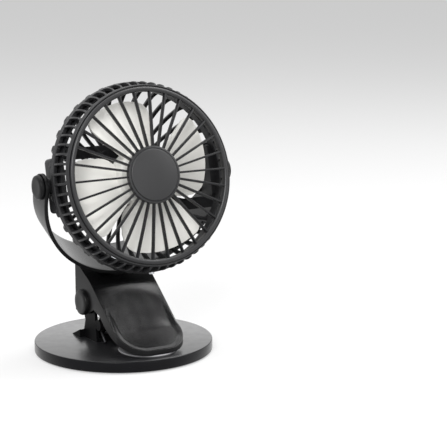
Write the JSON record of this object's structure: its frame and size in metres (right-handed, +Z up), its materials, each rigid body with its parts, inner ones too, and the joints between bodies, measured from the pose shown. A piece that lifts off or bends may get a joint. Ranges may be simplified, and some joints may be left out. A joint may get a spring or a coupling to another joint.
{
  "type": "clip fan",
  "caption": "Small desk fan with a round caged head on a swivelling yoke, carried by a sprung clip arm that closes on a weighted round base.",
  "frame": {"origin": "centre of the base's underside, on the surface the fan stands on", "axes": "+Z up; the fan blows towards -Y when the yoke is straight; +X is to the right of someone who faces the grille"},
  "size_m": [0.145, 0.124, 0.1892],
  "materials": {
    "black_shell": "satin black moulded plastic",
    "black_gloss": "semi-gloss black moulded plastic",
    "black_base": "satin black moulded plastic",
    "disc_grey": "matt dark grey insert",
    "blade_cream": "satin cream moulded plastic",
    "pad_grey": "soft grey rubber",
    "mat_black": "matt black rubber",
    "weight_iron": "plain iron plate",
    "screw_steel": "zinc-plated steel",
    "spring_steel": "black oiled spring steel",
    "motor_steel": "plated steel can",
    "bush_brass": "turned brass",
    "board_green": "solder-masked board",
    "cell_foil": "foil pouch",
    "switch_black": "matt black plastic",
    "washer_nylon": "dark nylon",
    "light_clear": "clear light guide"
  },
  "bodies": {
    "base": {"base_plate": "black_base", "weight_plate": "weight_iron", "base_cover": "black_base", "anti_slip_mat": "mat_black", "base_screws": "screw_steel", "jaw_pad": "pad_grey", "hinge_bracket": "black_gloss", "bracket_screws": "screw_steel", "spring_post": "black_gloss", "torsion_springs": "spring_steel"},
    "clip": {"clip_arm": "black_gloss", "upper_jaw_pad": "pad_grey", "hinge_pin": "screw_steel", "hinge_caps": "black_gloss"},
    "yoke": {"yoke": "black_gloss", "swivel_bolt": "screw_steel", "swivel_washer": "washer_nylon", "nut_washer": "screw_steel", "swivel_nut": "screw_steel", "pivot_caps": "black_gloss"},
    "head": {"front_grille": "black_shell", "centre_disc": "disc_grey", "rear_shell": "black_shell", "grille_screw": "screw_steel", "motor": "motor_steel", "motor_bush": "bush_brass", "rear_housing": "black_shell", "housing_screws": "screw_steel", "battery_cell": "cell_foil", "circuit_board": "board_green", "tact_switch": "switch_black", "charging_socket": "screw_steel", "indicator_light": "light_clear", "pivot_screws": "screw_steel", "pivot_washers": "washer_nylon"},
    "impeller": {"impeller": "blade_cream", "motor_shaft": "screw_steel"},
    "button": {"power_button": "black_shell"}
  },
  "joints": [
    {"name": "clip_open", "type": "hinge", "parent": "base", "child": "clip", "pos_m": [0, 0.0127, 0.034], "axis": [-1, 0, 0], "range_deg": [0, 28], "stiffness_Nm_per_rad": 0.8, "springref_deg": -34.38, "deforming": ["torsion_springs"]},
    {"name": "yoke_swivel", "type": "hinge", "parent": "clip", "child": "yoke", "pos_m": [0, -0.01822, 0.12349], "axis": [0, -0.4462, 0.8949], "continuous": true},
    {"name": "head_tilt", "type": "hinge", "parent": "yoke", "child": "head", "pos_m": [0, -0.01822, 0.12349], "axis": [1, 0, 0], "continuous": true},
    {"name": "impeller_spin", "type": "hinge", "parent": "head", "child": "impeller", "pos_m": [0, -0.01822, 0.12349], "axis": [0, -0.9751, 0.2215], "continuous": true},
    {"name": "button_press", "type": "slide", "parent": "head", "child": "button", "axis": [0, -0.9751, 0.2215], "range_m": [0, 0.0008], "stiffness_N_per_m": 300}
  ]
}
